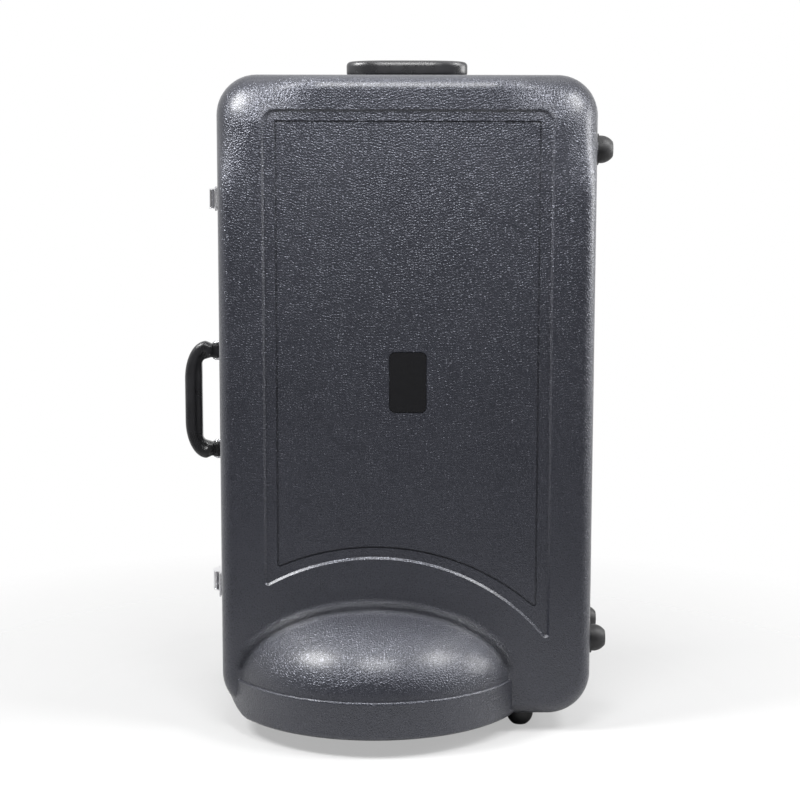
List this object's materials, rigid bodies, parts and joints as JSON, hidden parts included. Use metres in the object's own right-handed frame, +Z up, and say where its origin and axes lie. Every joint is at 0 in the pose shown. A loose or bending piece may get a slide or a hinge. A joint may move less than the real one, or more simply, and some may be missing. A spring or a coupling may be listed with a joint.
{
  "type": "case",
  "caption": "Euphonium case of deep moulded black shells with a round bell housing at the foot, hinged along one side and closed by draw latches",
  "frame": {"origin": "centre of the bounding box in plan, at the tips of the bottom feet", "axes": "X is the width with the hinges at plus X, Y is the depth with the lid at minus Y, Z is up"},
  "size_m": [0.543, 0.395, 0.8435],
  "materials": {
    "case_plastic": "grained",
    "rim_metal": "satin",
    "plush": "matte",
    "badge_black": "polished",
    "rubber": "matte",
    "handle_plastic": "satin",
    "flap_board": "matte",
    "steel": "satin",
    "chrome": "polished"
  },
  "bodies": {
    "base": {"back_bottom_foot_left": "rubber", "back_bottom_foot_right": "rubber", "back_foot_screws": "steel", "back_liner": "plush", "back_rivets": "steel", "back_shell": "case_plastic", "back_side_foot_lower": "rubber", "back_side_foot_upper": "rubber", "back_valance": "rim_metal", "lower_hinge_base_leaf": "chrome", "lower_hinge_pin": "chrome", "lower_latch_pin": "chrome", "lower_latch_plate": "chrome", "middle_hinge_base_leaf": "chrome", "middle_hinge_pin": "chrome", "pocket_hinge_pin": "chrome", "pocket_hinge_strip": "chrome", "side_handle_brackets": "chrome", "side_handle_pins": "chrome", "top_handle_brackets": "chrome", "top_handle_pins": "chrome", "upper_hinge_base_leaf": "chrome", "upper_hinge_pin": "chrome", "upper_latch_pin": "chrome", "upper_latch_plate": "chrome"},
    "lid": {"badge_plate": "badge_black", "front_bottom_foot_left": "rubber", "front_bottom_foot_right": "rubber", "front_foot_screws": "steel", "front_liner": "plush", "front_rivets": "steel", "front_shell": "case_plastic", "front_side_foot_lower": "rubber", "front_side_foot_upper": "rubber", "front_valance": "rim_metal", "lower_hinge_lid_leaf": "chrome", "lower_latch_keeper": "chrome", "middle_hinge_lid_leaf": "chrome", "upper_hinge_lid_leaf": "chrome", "upper_latch_keeper": "chrome"},
    "side_handle_body": {"side_handle": "handle_plastic"},
    "top_handle_body": {"top_handle": "handle_plastic"},
    "upper_lever_body": {"upper_latch_lever": "chrome", "upper_bail_pin": "chrome"},
    "upper_bail_body": {"upper_latch_bail": "chrome"},
    "lower_lever_body": {"lower_latch_lever": "chrome", "lower_bail_pin": "chrome"},
    "lower_bail_body": {"lower_latch_bail": "chrome"},
    "flap_body": {"pocket_flap": "flap_board"}
  },
  "joints": [
    {"name": "lid_hinge", "type": "hinge", "parent": "base", "child": "lid", "pos_m": [0.2555, 0, 0.4225], "axis": [0, 0, 1], "range_deg": [0, 105]},
    {"name": "side_handle_swing", "type": "hinge", "parent": "base", "child": "side_handle_body", "pos_m": [-0.2295, 0.018, 0.4115], "axis": [0, 0, -1], "range_deg": [-90, 90]},
    {"name": "top_handle_swing", "type": "hinge", "parent": "base", "child": "top_handle_body", "pos_m": [0.0165, 0.018, 0.834], "axis": [-1, 0, 0], "range_deg": [0, 180]},
    {"name": "upper_lever_swing", "type": "hinge", "parent": "base", "child": "upper_lever_body", "pos_m": [-0.227, 0.012, 0.6715], "axis": [0, 0, 1], "range_deg": [0, 120]},
    {"name": "upper_bail_swing", "type": "hinge", "parent": "upper_lever_body", "child": "upper_bail_body", "pos_m": [-0.225, 0.021, 0.6715], "axis": [0, 0, 1], "range_deg": [-120, 0]},
    {"name": "lower_lever_swing", "type": "hinge", "parent": "base", "child": "lower_lever_body", "pos_m": [-0.227, 0.012, 0.1715], "axis": [0, 0, 1], "range_deg": [0, 120]},
    {"name": "lower_bail_swing", "type": "hinge", "parent": "lower_lever_body", "child": "lower_bail_body", "pos_m": [-0.225, 0.021, 0.1715], "axis": [0, 0, 1], "range_deg": [-120, 0]},
    {"name": "pocket_flap_hinge", "type": "hinge", "parent": "base", "child": "flap_body", "pos_m": [0.1445, 0.0055, 0.4325], "axis": [0, 0, -1], "range_deg": [0, 100]}
  ],
  "couplings": [
    {"joint": "upper_bail_swing", "follows": "upper_lever_swing", "ratio": -1},
    {"joint": "lower_bail_swing", "follows": "lower_lever_swing", "ratio": -1}
  ]
}
